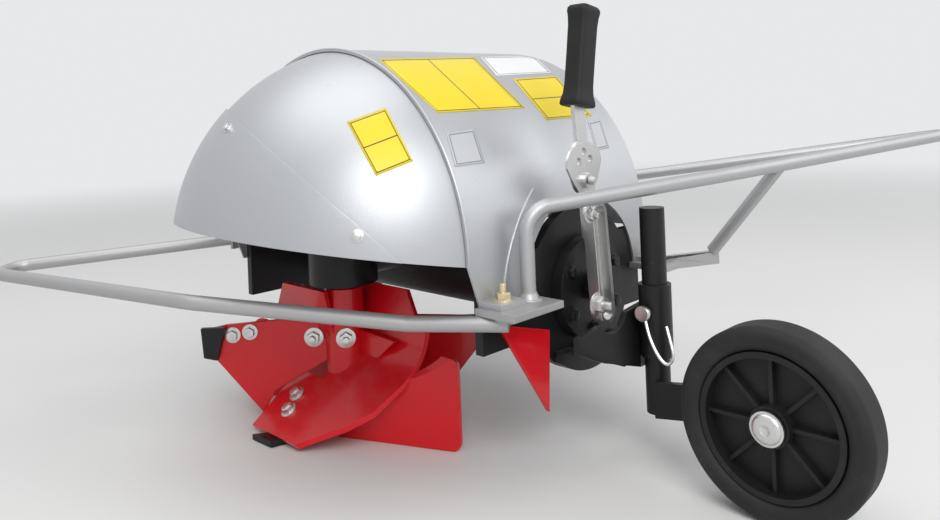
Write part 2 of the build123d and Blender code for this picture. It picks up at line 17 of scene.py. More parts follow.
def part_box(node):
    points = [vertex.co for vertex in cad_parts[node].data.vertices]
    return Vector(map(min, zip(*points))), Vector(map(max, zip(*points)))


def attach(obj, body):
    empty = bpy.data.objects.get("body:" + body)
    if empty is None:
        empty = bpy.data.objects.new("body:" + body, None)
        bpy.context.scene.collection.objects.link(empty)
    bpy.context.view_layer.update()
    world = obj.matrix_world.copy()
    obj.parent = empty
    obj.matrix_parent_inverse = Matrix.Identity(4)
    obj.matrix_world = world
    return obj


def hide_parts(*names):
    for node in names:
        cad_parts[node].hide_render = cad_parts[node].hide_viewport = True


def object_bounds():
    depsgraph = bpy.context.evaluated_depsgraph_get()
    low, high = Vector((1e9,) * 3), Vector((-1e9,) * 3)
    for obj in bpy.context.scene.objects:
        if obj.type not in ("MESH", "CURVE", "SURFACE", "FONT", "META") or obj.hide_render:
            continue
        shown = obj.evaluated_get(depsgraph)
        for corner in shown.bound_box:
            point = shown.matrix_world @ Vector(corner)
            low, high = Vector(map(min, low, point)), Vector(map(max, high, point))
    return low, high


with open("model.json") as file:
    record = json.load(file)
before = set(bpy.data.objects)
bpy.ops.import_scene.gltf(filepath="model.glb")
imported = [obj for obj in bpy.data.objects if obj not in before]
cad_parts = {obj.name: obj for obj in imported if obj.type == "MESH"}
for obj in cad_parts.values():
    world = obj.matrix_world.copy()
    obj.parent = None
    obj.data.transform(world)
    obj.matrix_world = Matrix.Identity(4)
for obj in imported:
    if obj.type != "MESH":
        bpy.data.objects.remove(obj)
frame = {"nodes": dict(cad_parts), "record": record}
nodes = frame["nodes"]
record = frame["record"]
cad_low, cad_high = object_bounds()
body_of_node = {node: body for body, members in record["behaviour"]["bodies"].items() for node in members}
slot_of_node = {part["node"]: part["material_slot"] for part in record["subparts"]}
print("solids:", len(nodes), "box:", [round(v, 3) for v in cad_high - cad_low])

# %% [markdown]
# ## Camera
# The picture was taken from the rear left corner at about the height of the hood, with a level lens and
# the frame cropped low. A level camera with a vertical shift keeps uprights upright, as the picture does;
# pitching it down instead would make the wheel post lean.

# %% Camera at the picture's angle
PICTURE = (940, 520)
FOCAL_PX = 790.0
CENTRE_PX = (470.0, 106.0)
ROLL = 0.04
EYE = Vector((1.144, -0.785, 0.226))
RIGHT = Vector((0.712, 0.702, 0.0)).normalized()
AHEAD = Vector((-0.702, 0.712, 0.0)).normalized()
UP = Vector((0.0, 0.0, 1.0))
SENSOR = 36.0

lens = bpy.data.cameras.new("camera")
lens.sensor_width = SENSOR
lens.lens = FOCAL_PX / PICTURE[0] * SENSOR
roll_right = RIGHT * cos(ROLL) - UP * sin(ROLL)
roll_up = RIGHT * sin(ROLL) + UP * cos(ROLL)
lens.shift_x = (PICTURE[0] / 2 - CENTRE_PX[0]) / PICTURE[0]
lens.shift_y = -(PICTURE[1] / 2 - CENTRE_PX[1]) / PICTURE[0]
camera = bpy.data.objects.new("camera", lens)
turn = Matrix((roll_right, roll_up, -AHEAD)).transposed()
camera.matrix_world = Matrix.Translation(EYE) @ turn.to_4x4()
bpy.context.scene.collection.objects.link(camera)
bpy.context.scene.camera = camera
bpy.context.scene.view_settings.view_transform = "Standard"


def sight(pixel):
    """Direction from the eye through a pixel of the picture."""
    across = (pixel[0] - CENTRE_PX[0]) / FOCAL_PX
    down = (pixel[1] - CENTRE_PX[1]) / FOCAL_PX
    return (AHEAD + roll_right * across - roll_up * down).normalized()


print("lens:", round(lens.lens, 2), "mm, shift:", round(lens.shift_y, 3))

# %% [markdown]
# ## Shader maths
# Finishes are easier to read as sums than as boxes and wires. One small class holds a socket, and adding
# or multiplying it makes the Math nodes. One method makes every other node, for materials and for the room.

# %% Finish helpers


MIX_COLOURS, MIX_RESULT = (6, 7), 2


class Wire:
    """One output socket of a recipe; arithmetic on it adds Math nodes."""

    def __init__(self, recipe, socket):
        self.recipe = recipe
        self.socket = socket

    def maths(self, operation, first, second):
        return self.recipe.node("ShaderNodeMath", {0: first, 1: second}, operation=operation)

    def __add__(self, other):
        return self.maths("ADD", self, other)

    def __radd__(self, other):
        return self.maths("ADD", other, self)

    def __sub__(self, other):
        return self.maths("SUBTRACT", self, other)

    def __rsub__(self, other):
        return self.maths("SUBTRACT", other, self)

    def __mul__(self, other):
        return self.maths("MULTIPLY", self, other)

    def __rmul__(self, other):
        return self.maths("MULTIPLY", other, self)

    def __abs__(self):
        return self.recipe.node("ShaderNodeMath", {0: self}, operation="ABSOLUTE")

    def least(self, other):
        return self.maths("MINIMUM", self, other)

    def most(self, other):
        return self.maths("MAXIMUM", self, other)

    def above(self, edge, soft):
        """0 below edge, 1 above edge + soft, smooth between."""
        reach = {"Value": self, "From Min": edge, "From Max": edge + soft}
        return self.recipe.node("ShaderNodeMapRange", reach, interpolation_type="SMOOTHSTEP")


class Recipe:
    """A node tree that is built up node by node."""

    def __init__(self, owner):
        owner.use_nodes = True
        self.tree = owner.node_tree
        self.tree.nodes.clear()

    def node(self, kind, sockets=None, out=0, **settings):
        made = self.tree.nodes.new(kind)
        for key, value in settings.items():
            setattr(made, key, value)
        for key, value in (sockets or {}).items():
            if isinstance(value, Wire):
                self.tree.links.new(value.socket, made.inputs[key])
            else:
                made.inputs[key].default_value = value
        return Wire(self, made.outputs[out])

    def end(self, kind, shader):
        self.tree.links.new(shader.socket, self.tree.nodes.new(kind).inputs["Surface"])


class Finish(Recipe):
    """A material's recipe, with the patterns that the finishes share."""

    def __init__(self, name):
        self.material = bpy.data.materials.new(name)
        super().__init__(self.material)
        self.place = self.node("ShaderNodeTexCoord", out="Object")

    def noise(self, scale, detail=3.0, rough=0.5, stretch=(1.0, 1.0, 1.0)):
        where = self.node("ShaderNodeMapping", {"Vector": self.place, "Scale": stretch})
        grain = {"Vector": where, "Scale": scale, "Detail": detail, "Roughness": rough}
        return self.node("ShaderNodeTexNoise", grain)

    def mix(self, factor, first, second):
        sockets = {0: factor}
        for key, colour in zip(MIX_COLOURS, (first, second)):
            sockets[key] = colour if isinstance(colour, Wire) else (*colour, 1.0)
        return self.node("ShaderNodeMix", sockets, out=MIX_RESULT, data_type="RGBA")

    def bump(self, height, depth):
        return self.node("ShaderNodeBump", {"Height": height, "Strength": 1.0, "Distance": depth})

    def height(self):
        return self.node("ShaderNodeSeparateXYZ", {0: self.place}, out="Z")

    def facing_up(self):
        geometry = self.node("ShaderNodeNewGeometry", out="Normal")
        return self.node("ShaderNodeSeparateXYZ", {0: geometry}, out="Z")

    def surface(self, **sockets):
        names = {key.replace("_", " ").title().replace("Ior", "IOR"): value for key, value in sockets.items()}
        self.end("ShaderNodeOutputMaterial", self.node("ShaderNodeBsdfPrincipled", names))
        return self.material


def toned(tone, share):
    """A colour made lighter or darker by a share."""
    return tuple(min(1.0, value * share) for value in tone)


FLOOR_Z = cad_low.z
DUST = (0.30, 0.25, 0.19)
print("finish helpers ready, floor at", round(FLOOR_Z, 3))

# %% [markdown]
# ## Silver hood paint
# The hood wears an aluminium-flake paint: a broad bright highlight, a fine sparkle, and a slight ripple
# from the spray gun. A metallic shader with a fine and a coarse noise gives the flake and the ripple.

# %% Silver paints


def silver_finish(name, tone, roughness, ripple):
    paint = Finish(name)
    flake = paint.noise(2600.0, detail=1.0)
    cloud = paint.noise(7.0, detail=4.0)
    streak = paint.noise(26.0, detail=3.0, stretch=(1.0, 1.0, 0.12))
    scuff = paint.noise(60.0, detail=6.0, rough=0.7).above(0.66, soft=0.06)
    base = paint.mix(flake, toned(tone, 0.88), toned(tone, 1.10))
    base = paint.mix(cloud * 0.22, base, toned(tone, 0.80))
    base = paint.mix(scuff * 0.22, base, toned(tone, 0.62))
    dirt = (1.0 - paint.height().above(FLOOR_Z + 0.10, soft=0.16)) * paint.noise(34.0, detail=5.0, rough=0.65)
    base = paint.mix(dirt * 0.5, base, DUST)
    rough = roughness + cloud * 0.07 + streak * 0.05 + scuff * 0.16 + dirt * 0.2
    normal = paint.bump(paint.noise(420.0, detail=2.0), ripple)
    return paint.surface(base_color=base, metallic=0.62, roughness=rough, normal=normal)


hood_silver = silver_finish("hood_silver", (0.47, 0.48, 0.50), roughness=0.38, ripple=0.00010)
tube_silver = silver_finish("tube_silver", (0.43, 0.43, 0.44), roughness=0.40, ripple=0.00016)
print("silver paints:", hood_silver.name, tube_silver.name)

# %% [markdown]
# ## Red and black paint
# The rotor is dipped in a thick gloss red, and the drive and wheel parts wear a duller black. Thick paint
# keeps a soft orange peel and chips first on the lower edges, where soil runs along the plates, so the
# chips grow towards the floor.

# %% Red and black paints


def gloss_finish(name, tone, roughness, chip_tone, chips, coat):
    paint = Finish(name)
    cloud = paint.noise(9.0, detail=4.0)
    peel = paint.noise(310.0, detail=2.0)
    chip_spread = 1.0 - paint.height().above(FLOOR_Z + 0.01, soft=0.10)
    chip = paint.noise(95.0, detail=7.0, rough=0.75) + chip_spread * 0.08
    chip = chip.above(1.0 - chips, soft=0.03)
    scratch = paint.noise(190.0, detail=3.0, stretch=(0.06, 1.0, 1.0)).above(0.70, soft=0.04)
    base = paint.mix(cloud * 0.45, tone, toned(tone, 0.70))
    base = paint.mix(scratch * 0.25, base, tuple(min(1.0, v * 1.2 + 0.04) for v in tone))
    base = paint.mix(chip, base, chip_tone)
    dust = paint.noise(48.0, detail=5.0, rough=0.6).above(0.42, soft=0.3)
    dust = paint.facing_up().above(0.55, soft=0.4) * dust
    base = paint.mix(dust * 0.12, base, DUST)
    rough = roughness + cloud * 0.10 + scratch * 0.12 + chip * 0.25 + dust * 0.18
    normal = paint.bump(peel - chip * 0.6, depth=0.00022)
    return paint.surface(base_color=base, roughness=rough, normal=normal, specular_ior_level=0.3,
                         coat_weight=coat, coat_roughness=0.12)


rotor_red = gloss_finish("rotor_red", (0.68, 0.005, 0.012), roughness=0.26,
                         chip_tone=(0.16, 0.12, 0.10), chips=0.235, coat=0.35)
frame_black = gloss_finish("frame_black", (0.008, 0.008, 0.009), roughness=0.38,
                           chip_tone=(0.07, 0.06, 0.055), chips=0.22, coat=0.06)
print("gloss paints:", rotor_red.name, frame_black.name)

# %% [markdown]
# ## Plated steel
# Lever, bolts and pins are zinc plated. Clear zinc is a plain grey, and yellow zinc is what the bolts at the
# hood's feet wear. Fine brushing along the part and darker grime in patches keep both from looking new.

# %% Plated steel


def plated_finish(name, tone, roughness):
    plate = Finish(name)
    brush = plate.noise(520.0, detail=2.0, stretch=(1.0, 1.0, 0.05))
    cloud = plate.noise(40.0, detail=5.0, rough=0.65)
    grime = cloud.above(0.56, soft=0.18)
    base = plate.mix(brush * 0.35, tone, toned(tone, 0.72))
    base = plate.mix(grime * 0.30, base, toned(tone, 0.42))
    rough = roughness + brush * 0.12 + grime * 0.2
    normal = plate.bump(brush, depth=0.00006)
    return plate.surface(base_color=base, metallic=0.95, roughness=rough, normal=normal)


clear_zinc = plated_finish("clear_zinc", (0.66, 0.66, 0.65), roughness=0.26)
yellow_zinc = plated_finish("yellow_zinc", (0.72, 0.62, 0.40), roughness=0.28)
print("plated steel:", clear_zinc.name, yellow_zinc.name)

# %% [markdown]
# ## Rubber and plastic
# The grip is a soft black rubber with a fine pebble, the tyre a solid grey-black rubber with dust on its
# tread, and the wheel disc a moulded plastic with a faint flow pattern.

# %% Rubber and plastic


def dull_finish(name, tone, roughness, grain, depth, dust):
    dull = Finish(name)
    pebble = dull.noise(grain, detail=2.0)
    cloud = dull.noise(24.0, detail=5.0, rough=0.6)
    powder = cloud.above(0.48, soft=0.25) * (dull.noise(160.0, detail=4.0) * 0.8 + 0.2)
    base = dull.mix(cloud * 0.5, tone, toned(tone, 1.5))
    base = dull.mix(powder * dust, base, DUST)
    rough = roughness + pebble * 0.10 + powder * 0.08
    normal = dull.bump(pebble, depth)
    return dull.surface(base_color=base, roughness=rough, normal=normal, specular_ior_level=0.3)


grip_rubber = dull_finish("grip_rubber", (0.009, 0.009, 0.010), roughness=0.54,
                          grain=900.0, depth=0.00025, dust=0.03)
tyre_rubber = dull_finish("tyre_rubber", (0.014, 0.014, 0.015), roughness=0.60,
                          grain=620.0, depth=0.00020, dust=0.07)
disc_plastic = dull_finish("disc_plastic", (0.009, 0.009, 0.010), roughness=0.44,
                           grain=480.0, depth=0.00008, dust=0.05)
print("dull finishes:", grip_rubber.name, tyre_rubber.name, disc_plastic.name)

# %% [markdown]
# ## Dressing the solids
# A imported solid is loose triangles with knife-sharp edges. Real sheet and plate has a small radius that
# catches light, so each solid is copied, merged, its flat triangles joined and its sharp edges bevelled.
# The copy then stands for its node, and weighted normals keep the flats flat. The wheel arm's copy is cut
# off at the post, where the arm is welded on. The grip and the hub cap are made anew further down.

# %% Soft-edged copies
SHARP = radians(28.0)
FLAT = radians(0.4)
SOFT_TURN = radians(40.0)
MERGE = 2e-6
TOUCH = 1e-6
EDGE_RADIUS = 0.0009
EDGE_RADII = {"blade": 0.0012, "hood": 0.0006, "tyre": 0.0010, "lever_bar": 0.0008}
ARM_LAP = 0.006
TUBES = ("left_guard", "right_guard", "brace_arm", "guard_brace", "near_bracket", "far_bracket")
REMADE = ("lever_grip", "hub_cap")
finish_of_slot = {
    "silver_paint": hood_silver,
    "red_paint": rotor_red,
    "black_paint": frame_black,
    "zinc": clear_zinc,
    "rubber": grip_rubber,
    "tyre": tyre_rubber,
    "plastic": disc_plastic,
}
post_low, post_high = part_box("wheel_post")
arm_end = Vector(((post_low.x + post_high.x) / 2 + ARM_LAP, 0, 0))


def shade(mesh_bm, sharp):
    for face in mesh_bm.faces:
        face.smooth = True
    for edge in mesh_bm.edges:
        edge.smooth = len(edge.link_faces) == 2 and edge.calc_face_angle(pi) < sharp


def link_piece(name, mesh_bm, finish, body, sharp=SHARP, even=False):
    """Turn a finished bmesh into a piece of a body; sharp is None where the shading is already set."""
    if sharp is not None:
        shade(mesh_bm, sharp)
    mesh = bpy.data.meshes.new(name)
    mesh_bm.to_mesh(mesh)
    mesh_bm.free()
    mesh.materials.append(finish)
    piece = bpy.data.objects.new(name, mesh)
    bpy.context.scene.collection.objects.link(piece)
    if even:
        shading = piece.modifiers.new("even_shading", "WEIGHTED_NORMAL")
        shading.keep_sharp = True
    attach(piece, body)
    return piece


def close_holes(mesh_bm):
    bmesh.ops.holes_fill(mesh_bm, edges=[edge for edge in mesh_bm.edges if edge.is_boundary], sides=0)


def soft_bevel(mesh_bm, geom, offset, segments=2, affect="EDGES"):
    bmesh.ops.bevel(mesh_bm, geom=geom, offset=offset, offset_type="OFFSET", segments=segments, profile=0.5,
                    affect=affect, clamp_overlap=True, material=-1)


def soft_copy(node):
    copy = bmesh.new()
    copy.from_mesh(nodes[node].data)
    bmesh.ops.remove_doubles(copy, verts=copy.verts, dist=MERGE)
    if node == "wheel_arm":
        everything = copy.verts[:] + copy.edges[:] + copy.faces[:]
        bmesh.ops.bisect_plane(copy, geom=everything, dist=TOUCH, plane_co=arm_end, plane_no=(-1, 0, 0),
                               clear_outer=True)
        close_holes(copy)
    bmesh.ops.dissolve_limit(copy, angle_limit=FLAT, verts=copy.verts, edges=copy.edges)
    corners = [edge for edge in copy.edges if len(edge.link_faces) == 2 and edge.calc_face_angle(0.0) > SHARP]
    radii = [radius for start, radius in EDGE_RADII.items() if node.startswith(start)]
    soft_bevel(copy, corners, radii[0] if radii else EDGE_RADIUS)
    bmesh.ops.remove_doubles(copy, verts=copy.verts, dist=MERGE)
    bmesh.ops.dissolve_degenerate(copy, dist=MERGE, edges=copy.edges)
    slot = slot_of_node[node]
    finish = tube_silver if node in TUBES else finish_of_slot[slot]
    piece = link_piece(node + "_dressed", copy, finish, body_of_node[node], sharp=SOFT_TURN, even=True)
    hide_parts(node)
    return piece


dressed = [soft_copy(node) for node in sorted(nodes) if node not in REMADE]
print("dressed solids:", len(dressed))

# %% [markdown]
# ## Finding a place on a solid
# Hardware sits on the solids, so its place is found by looking from the camera through a point of the
# picture until the line meets a solid. The hit gives both the seat and the direction that a bolt stands in.

# %% Seats on the solids
surfaces = {}


def surface_of(node):
    if node not in surfaces:
        mesh = nodes[node].data
        corners = [vertex.co.copy() for vertex in mesh.vertices]
        surfaces[node] = BVHTree.FromPolygons(corners, [tuple(face.vertices) for face in mesh.polygons])
    return surfaces[node]


def seat(pixel, *candidates):
    """Nearest hit on the candidate nodes: place, outward direction and the node's body."""
    hits = []
    for node in candidates:
        spot, normal, _, reach = surface_of(node).ray_cast(EYE, sight(pixel))
        if spot is not None:
            hits.append((reach, spot, normal, node))
    if not hits:
        return None
    reach, spot, normal, node = min(hits, key=lambda hit: hit[0])
    if normal.dot(sight(pixel)) > 0:
        normal = -normal
    return spot, normal, body_of_node[node]


def standing(spot, direction):
    """Matrix that stands a piece modelled along Z on a seat."""
    return Matrix.Translation(spot) @ direction.to_track_quat("Z", "Y").to_matrix().to_4x4()


print("seat finder ready")

# %% [markdown]
# ## Bolts and nuts
# The plates are held by hexagon bolts on washers. Each is a six-sided prism with a bevelled crown on a thin
# round washer; nuts also show the end of their stud. The rotor's two blade sets are alike, so each of its
# bolts is set again half a turn round the rotor's axis. All bolts of one body share one mesh.

# %% Hexagon hardware
REAR = Vector((1, 0, 0))
HEX_CORNER = 1.0 / cos(pi / 6)
HARDWARE_TURN = radians(32.0)
ROUND_SIDES = 28
WASHER_SINK = 0.0004
# The rest of a bolt is in shares of its width across flats.
WASHER_R, WASHER_SHEET, WASHER_EDGE = 0.82, 0.10, 0.03
HEAD_DEPTH, HEAD_EDGE = 0.52, 0.07
STUD_R, STUD_ROOT, STUD_EDGE = 0.29, 0.50, 0.05


def add_disc(mesh_bm, place, radius, low, high, edge, sides=ROUND_SIDES):
    """A round or six-sided disc along the place's Z, bevelled round its top."""
    matrix = place @ Matrix.Translation((0, 0, (low + high) / 2))
    disc = bmesh.ops.create_cone(mesh_bm, cap_ends=True, segments=sides, radius1=radius, radius2=radius,
                                 depth=high - low, matrix=matrix)
    axis = (place.to_3x3() @ UP).normalized()
    top = place @ Vector((0, 0, high))
    crown = {vert for vert in disc["verts"] if abs((vert.co - top).dot(axis)) < TOUCH}
    rim = {line for vert in crown for line in vert.link_edges if line.other_vert(vert) in crown}
    soft_bevel(mesh_bm, list(rim), edge)


def add_bolt(mesh_bm, spot, direction, flats, stud=0.0):
    place = standing(spot, direction)
    washer = flats * WASHER_SHEET
    add_disc(mesh_bm, place, flats * WASHER_R, -WASHER_SINK, washer, flats * WASHER_EDGE)
    crown = washer + flats * HEAD_DEPTH
    add_disc(mesh_bm, place, flats / 2 * HEX_CORNER, washer, crown, flats * HEAD_EDGE, sides=6)
    if stud:
        root = washer + flats * STUD_ROOT
        add_disc(mesh_bm, place, flats * STUD_R, root, root + stud, flats * STUD_EDGE)


def link_hardware(name, mesh_bm, finish, body):
    link_piece(name, mesh_bm, finish, body, sharp=HARDWARE_TURN)


FLAP_PLATES = ("hood_flap", "hood_dome")
ROTOR_PLATES = ("blade_mould_1", "blade_paddle_1", "blade_wing_1", "rotor_hub")
FLAP_BOLT, SHARE_BOLT = 0.0085, 0.013
RED_NUT, RED_STUD = 0.016, 0.007
BOLT_SEATS = [
    ((228, 128), FLAP_PLATES, FLAP_BOLT, 0.0),
    ((357, 236), FLAP_PLATES, FLAP_BOLT, 0.0),
    ((233, 335), ROTOR_PLATES, SHARE_BOLT, 0.0),
    ((250, 332), ROTOR_PLATES, SHARE_BOLT, 0.0),
    ((297, 394), ROTOR_PLATES, SHARE_BOLT, 0.0),
    ((289, 410), ROTOR_PLATES, SHARE_BOLT, 0.0),
    ((314, 337), ROTOR_PLATES, RED_NUT, RED_STUD),
    ((346, 338), ROTOR_PLATES, RED_NUT, RED_STUD),
]
rotor_joint = next(joint for joint in record["behaviour"]["joints"] if joint["name"] == "rotor_spin")
rotor_place = Matrix.Translation(rotor_joint["pos_m"])
half_turn = rotor_place @ Matrix.Rotation(pi, 4, Vector(rotor_joint["axis"])) @ rotor_place.inverted()
hardware = {}
for pixel, candidates, flats, stud in BOLT_SEATS:
    found = seat(pixel, *candidates)
    if found:
        spot, direction, body = found
        hardware.setdefault(body, bmesh.new())
        add_bolt(hardware[body], spot, direction, flats, stud)
        if body == "rotor":
            add_bolt(hardware[body], half_turn @ spot, half_turn.to_3x3() @ direction, flats, stud)
for body, body_bolts in hardware.items():
    link_hardware("bolts_" + body, body_bolts, clear_zinc, body)

FOOT_BOLT, FOOT_STUD, FOOT_TOP = 0.014, 0.010, 0.017
FOOT_PLACES = ((0.570, -0.164), (0.570, 0.127))
foot_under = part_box("near_bracket")[0].z
foot_bolts = bmesh.new()
for foot_x, foot_y in FOOT_PLACES:
    add_bolt(foot_bolts, Vector((foot_x, foot_y, FOOT_TOP)), UP, FOOT_BOLT, FOOT_STUD)
    add_bolt(foot_bolts, Vector((foot_x, foot_y, foot_under)), -UP, FOOT_BOLT)
link_hardware("foot_bolts", foot_bolts, yellow_zinc, "frame")

CAP_BOLTS, CAP_BOLT, CAP_BOLT_R, CAP_DEPTH = 6, 0.012, 0.050, 0.0157
cap_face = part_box("rear_cap")[0].x + CAP_DEPTH
cap_bolts = bmesh.new()
for index in range(CAP_BOLTS):
    angle = 2 * pi * (index + 0.5) / CAP_BOLTS
    add_bolt(cap_bolts, Vector((cap_face, CAP_BOLT_R * cos(angle), CAP_BOLT_R * sin(angle))), REAR, CAP_BOLT)
link_hardware("cap_bolts", cap_bolts, frame_black, "head")
print("bolt groups:", sorted(hardware) + ["foot", "cap"])

# %% [markdown]
# ## Plain plates on the hood
# The hood carries thin plain plates that bend with the sheet. A small grid is laid on the hood through the
# corners that the camera sees, so it takes the sheet's curve. Its border line, and on some the dividing
# line, are drawn from its own UV map, and Solidify gives it its thickness.

# %% Plate finishes and plates
MIDDLE = 0.5
LINE_SOFT = 0.0003
BORDER_INSET, BORDER_WIDTH = 0.0025, 0.0012


def plate_finish(name, tone, line_tone, size, split):
    plate = Finish(name)
    flat = plate.node("ShaderNodeTexCoord", out="UV")
    across = plate.node("ShaderNodeSeparateXYZ", {0: flat}, out="X")
    along = plate.node("ShaderNodeSeparateXYZ", {0: flat}, out="Y")
    side, end = MIDDLE - abs(across - MIDDLE), MIDDLE - abs(along - MIDDLE)
    margin = (side * size[0]).least(end * size[1])
    inside = margin.above(BORDER_INSET, LINE_SOFT)
    line = inside * (1.0 - margin.above(BORDER_INSET + BORDER_WIDTH, LINE_SOFT))
    if split:
        run, length = (across, size[0]) if split == "across" else (along, size[1])
        half = BORDER_WIDTH / 2 / length
        line = line.most(inside * (1.0 - abs(run - MIDDLE).above(half, half / 2)))
    cloud = plate.noise(30.0, detail=4.0)
    scuff = plate.noise(140.0, detail=6.0, rough=0.7).above(0.64, soft=0.05)
    base = plate.mix(cloud * 0.3, tone, toned(tone, 0.86))
    base = plate.mix(line, base, line_tone)
    base = plate.mix(scuff * 0.3, base, tuple(v * 0.75 + 0.08 for v in tone))
    return plate.surface(base_color=base, roughness=0.34 + cloud * 0.12 + scuff * 0.2)


YELLOW = (0.78, 0.60, 0.012)
DARK = (0.02, 0.02, 0.02)
WHITE = (0.74, 0.75, 0.75)
PALE = (0.47, 0.48, 0.50)
GREY = (0.16, 0.17, 0.18)
PLATES = [
    ("top_plate", "hood_shell", ((378, 59), (474, 57), (525, 108), (438, 113)),
     YELLOW, DARK, (0.150, 0.100), "across"),
    ("top_notice", "hood_shell", ((480, 57), (534, 56), (552, 73), (497, 76)),
     WHITE, GREY, (0.080, 0.050), None),
    ("right_plate", "hood_shell", ((513, 79), (556, 76), (592, 116), (547, 120)),
     YELLOW, DARK, (0.065, 0.080), "along"),
    ("rear_square", "hood_shell", ((446, 133), (474, 129), (485, 163), (455, 167)),
     PALE, GREY, (0.040, 0.045), None),
    ("far_square", "hood_shell", ((588, 122), (600, 119), (609, 148), (596, 151)),
     PALE, GREY, (0.030, 0.040), None),
    ("dome_plate", "hood_dome", ((347, 122), (386, 108), (413, 161), (376, 176)),
     YELLOW, DARK, (0.055, 0.075), "along"),
]
PLATE_LIFT, PLATE_SHEET, PLATE_CELLS = 0.0005, 0.0004, 12
for name, node, corners, tone, line_tone, size, split in PLATES:
    sheet = bmesh.new()
    sheet.loops.layers.uv.new("flat")
    bmesh.ops.create_grid(sheet, x_segments=PLATE_CELLS, y_segments=PLATE_CELLS, size=1.0, calc_uvs=True)
    top_left, top_right, low_right, low_left = (Vector(corner) for corner in corners)
    missed = []
    for vert in sheet.verts:
        across, down = (vert.co.x + 1) / 2, (1 - vert.co.y) / 2
        pixel = top_left.lerp(top_right, across).lerp(low_left.lerp(low_right, across), down)
        found = seat(pixel, node)
        if found:
            vert.co = found[0] + found[1] * PLATE_LIFT
        else:
            missed.append(vert)
    bmesh.ops.delete(sheet, geom=missed, context="VERTS")
    for face in sheet.faces:
        face.smooth = True
    bmesh.ops.recalc_face_normals(sheet, faces=sheet.faces)
    if sum(face.normal.dot(face.calc_center_median() - EYE) for face in sheet.faces) > 0:
        bmesh.ops.reverse_faces(sheet, faces=sheet.faces)
    finish = plate_finish(name + "_print", tone, line_tone, size, split)
    piece = link_piece(name, sheet, finish, "frame", sharp=None)
    depth = piece.modifiers.new("plate_thickness", "SOLIDIFY")
    depth.thickness = PLATE_SHEET
    depth.offset = -1.0
print("plates:", len(PLATES))

# %% [markdown]
# ## Linch pin clip
# The wheel post's pin is kept by a sprung wire loop. A loop is a wire bent once, so a bevelled curve through
# a few points gives it, and the curve is then made a mesh.

# %% Wire clip
WIRE_ROUNDNESS, WIRE_ORDER = 3, 3


def bent_wire(name, points, radius):
    """Mesh of a round wire that runs smoothly along points."""
    route = bpy.data.curves.new(name, "CURVE")
    route.dimensions = "3D"
    route.bevel_depth = radius
    route.bevel_resolution = WIRE_ROUNDNESS
    route.use_fill_caps = True
    run = route.splines.new("NURBS")
    run.points.add(len(points) - 1)
    for point, place in zip(run.points, points):
        point.co = (*place, 1.0)
    run.order_u = WIRE_ORDER
    run.use_endpoint_u = True
    holder = bpy.data.objects.new(name, route)
    wire = bmesh.new()
    wire.from_mesh(bpy.data.meshes.new_from_object(holder))
    bpy.data.objects.remove(holder)
    return wire


CLIP_WIRE = 0.0019
CLIP_ROUTE = [
    (0.000, 0.006, 0.000),
    (0.006, 0.000, -0.012),
    (0.014, -0.003, -0.030),
    (0.025, -0.003, -0.047),
    (0.034, -0.001, -0.052),
    (0.038, 0.004, -0.043),
    (0.034, 0.006, -0.030),
    (0.026, 0.010, -0.012),
]
pin_low, pin_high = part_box("linch_pin")
pin_face = Vector(((pin_low.x + pin_high.x) / 2, pin_low.y, (pin_low.z + pin_high.z) / 2))
clip = bent_wire("clip_route", [pin_face + Vector(step) for step in CLIP_ROUTE], CLIP_WIRE)
link_piece("pin_clip", clip, clear_zinc, "frame")
print("clip points:", len(CLIP_ROUTE))

# %% [markdown]
# ## Lever catch
# The lever's catch is a stud with a coil spring. A coil is a small circle spun round an axis as it climbs,
# which is what the spin operator's step along the axis does. Both are short, so that they clear the guard
# when the head swings.

# %% Catch spring and stud
COIL_R, COIL_WIRE, COIL_TURNS, COIL_PITCH = 0.0040, 0.0009, 2, 0.0020
COIL_STEPS, COIL_SIDES, COIL_START = 24, 8, 0.0008
STUD_DISCS = [(0.0030, 0.0, 0.0065, 0.0005), (0.0042, 0.0048, 0.0062, 0.0003)]
detent_low, detent_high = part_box("detent_pin")
catch_face = (detent_low + detent_high) / 2
catch_face.x = detent_high.x
coil = bmesh.new()
bmesh.ops.create_circle(coil, cap_ends=False, radius=COIL_WIRE, segments=COIL_SIDES,
                        matrix=Matrix.Translation((0, COIL_R, 0)))
bmesh.ops.spin(coil, geom=coil.verts[:] + coil.edges[:], cent=(0, 0, 0), axis=REAR, angle=2 * pi * COIL_TURNS,
               dvec=REAR * COIL_PITCH / COIL_STEPS, steps=COIL_TURNS * COIL_STEPS, use_merge=False,
               use_duplicate=False)
close_holes(coil)
bmesh.ops.recalc_face_normals(coil, faces=coil.faces)
bmesh.ops.translate(coil, verts=coil.verts, vec=catch_face + REAR * COIL_START)
link_piece("catch_spring", coil, clear_zinc, "head")
catch_stud = bmesh.new()
for radius, low, high, edge in STUD_DISCS:
    add_disc(catch_stud, standing(catch_face, REAR), radius, low, high, edge)
link_hardware("catch_stud", catch_stud, clear_zinc, "head")
print("catch at", [round(v, 3) for v in catch_face])

# %% [markdown]
# ## Lever grip
# The grip is a moulded rubber sleeve, square with round corners, that flares at both ends. A rounded square
# is extruded up the lever in steps, and each step is scaled, which follows the mould's outline. An extrusion
# leaves the face that it started from, so that face is deleted wherever it would lie inside the grip.

